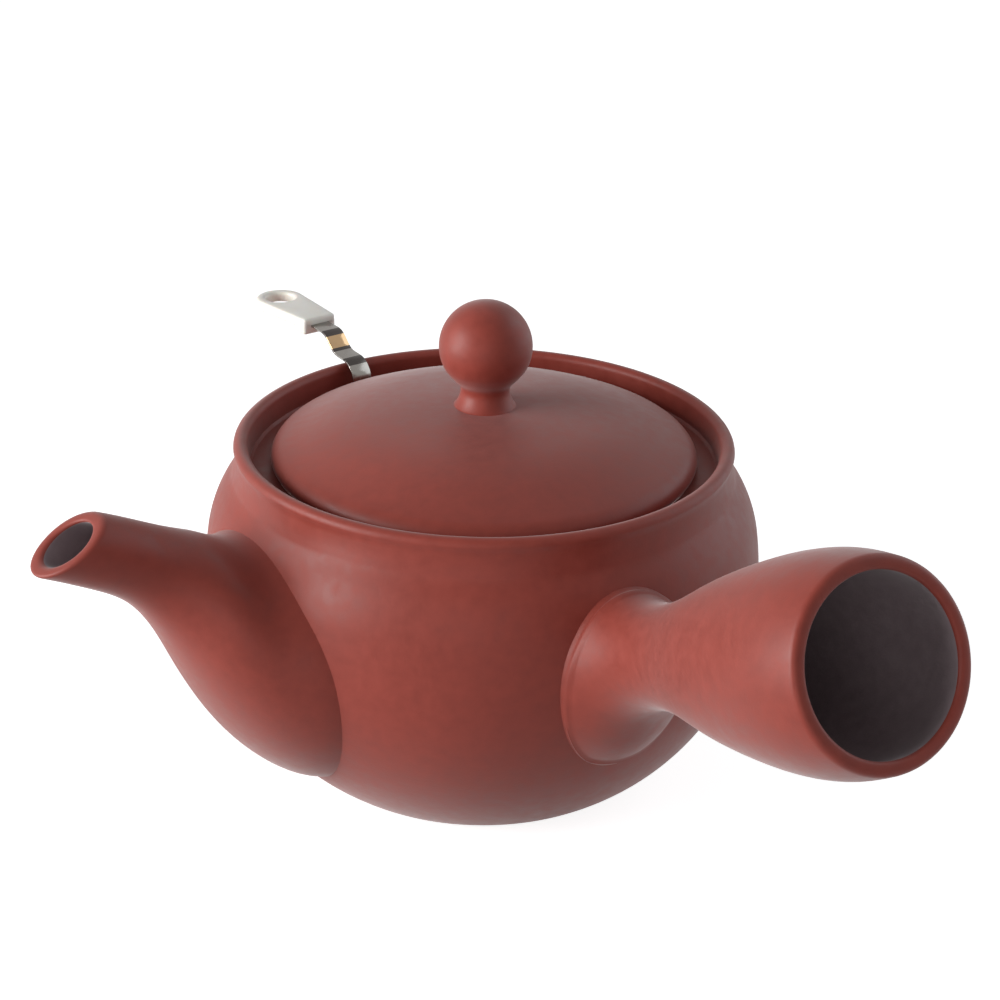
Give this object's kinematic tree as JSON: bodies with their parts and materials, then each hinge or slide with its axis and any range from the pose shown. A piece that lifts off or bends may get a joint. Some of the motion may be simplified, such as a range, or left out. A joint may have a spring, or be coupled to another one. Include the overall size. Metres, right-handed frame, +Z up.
{
  "type": "side-handled teapot",
  "caption": "Round red clay teapot with a hollow side handle, swelling S-shaped spout, knobbed lid sunk inside its collar and a lift-out mesh strainer basket with a tab.",
  "frame": {"origin": "centre of the flat base, on the surface the pot stands on", "axes": "+Z up along the pot's turning axis, side handle along -Y, spout 5 degrees past -X towards the handle, strainer strap and tab close to +Y"},
  "size_m": [0.1505, 0.2099, 0.0962],
  "materials": {
    "red_clay": "unglazed, satin",
    "stainless": "bright, brushed",
    "white_plastic": "satin"
  },
  "bodies": {
    "pot": {"pot_base": "red_clay", "pot_body": "red_clay", "pot_collar": "red_clay", "spout": "red_clay", "handle": "red_clay"},
    "basket": {"strainer_rim": "stainless", "strainer_wall": "stainless", "strainer_floor": "stainless", "strainer_seam": "stainless", "strainer_strap": "stainless", "strainer_tab": "white_plastic"},
    "cover": {"lid": "red_clay", "lid_knob": "red_clay"}
  },
  "joints": [
    {"name": "basket_lift", "type": "slide", "parent": "pot", "child": "basket", "axis": [0, 0, 1], "range_m": [0, 0.07]},
    {"name": "lid_lift", "type": "slide", "parent": "basket", "child": "cover", "axis": [0, 0, 1], "range_m": [0, 0.06]}
  ]
}
